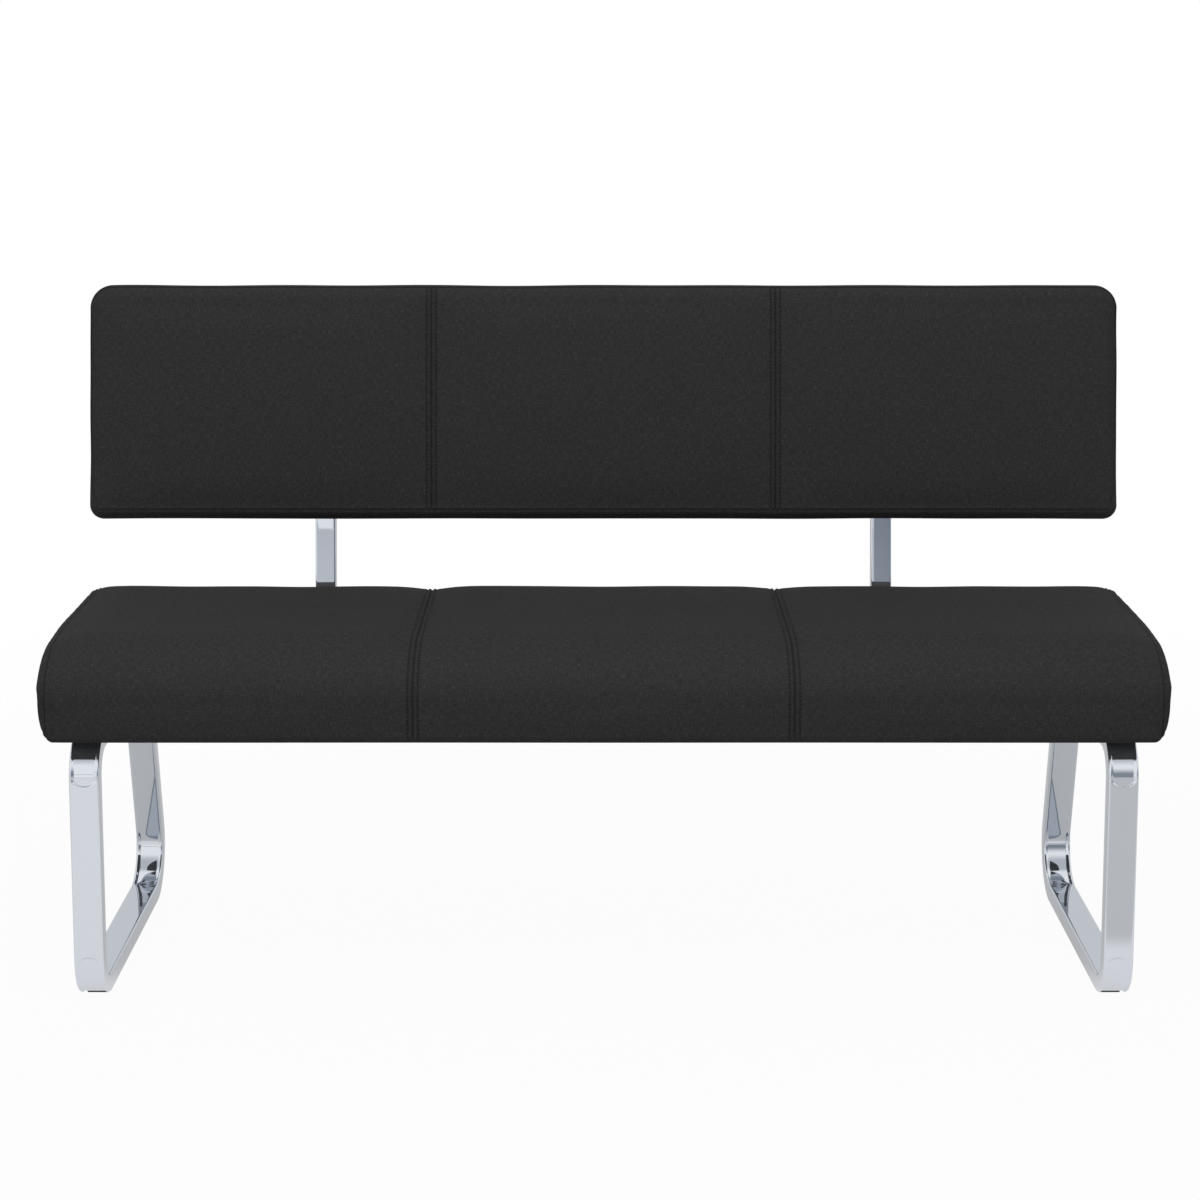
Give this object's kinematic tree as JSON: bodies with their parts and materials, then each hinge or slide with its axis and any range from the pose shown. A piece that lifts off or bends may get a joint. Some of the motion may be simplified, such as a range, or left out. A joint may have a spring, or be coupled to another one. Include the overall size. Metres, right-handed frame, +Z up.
{
  "type": "dining bench",
  "caption": "Upholstered dining bench with a low padded backrest on chromed tube posts and two closed loop legs of chromed rectangular tube.",
  "frame": {"origin": "on the floor, under the middle of the bench's overall box", "axes": "+X along the bench's length to its left as one sits on it, -Y the way a sitter faces, +Z up"},
  "size_m": [1.5, 0.547, 0.9266],
  "materials": {
    "upholstery": "fine charcoal weave",
    "foam": "open-cell foam",
    "plywood": "raw plywood",
    "lining": "black non-woven cloth",
    "chrome": "polished chrome plate",
    "steel": "zinc plated",
    "bolt": "plated steel",
    "glide": "black plastic"
  },
  "bodies": {
    "root": {"seat_cover_left": "upholstery", "seat_cover_centre": "upholstery", "seat_cover_right": "upholstery", "seat_end_left": "upholstery", "seat_end_right": "upholstery", "back_cover_left": "upholstery", "back_cover_centre": "upholstery", "back_cover_right": "upholstery", "back_border": "upholstery", "back_rear_panel": "upholstery", "seat_foam": "foam", "back_foam": "foam", "seat_board": "plywood", "back_board": "plywood", "seat_lining": "lining", "lining_staples": "steel", "seat_inserts": "steel", "back_inserts": "steel", "leg_frame_left": "chrome", "leg_frame_right": "chrome", "back_post_left": "chrome", "back_post_right": "chrome", "glide_front_left": "glide", "glide_front_right": "glide", "glide_rear_left": "glide", "glide_rear_right": "glide", "post_caps": "glide", "leg_bolts": "bolt", "post_bolts": "bolt", "back_bolts": "bolt", "leg_washers": "steel", "post_washers": "steel", "back_washers": "steel"}
  },
  "joints": []
}
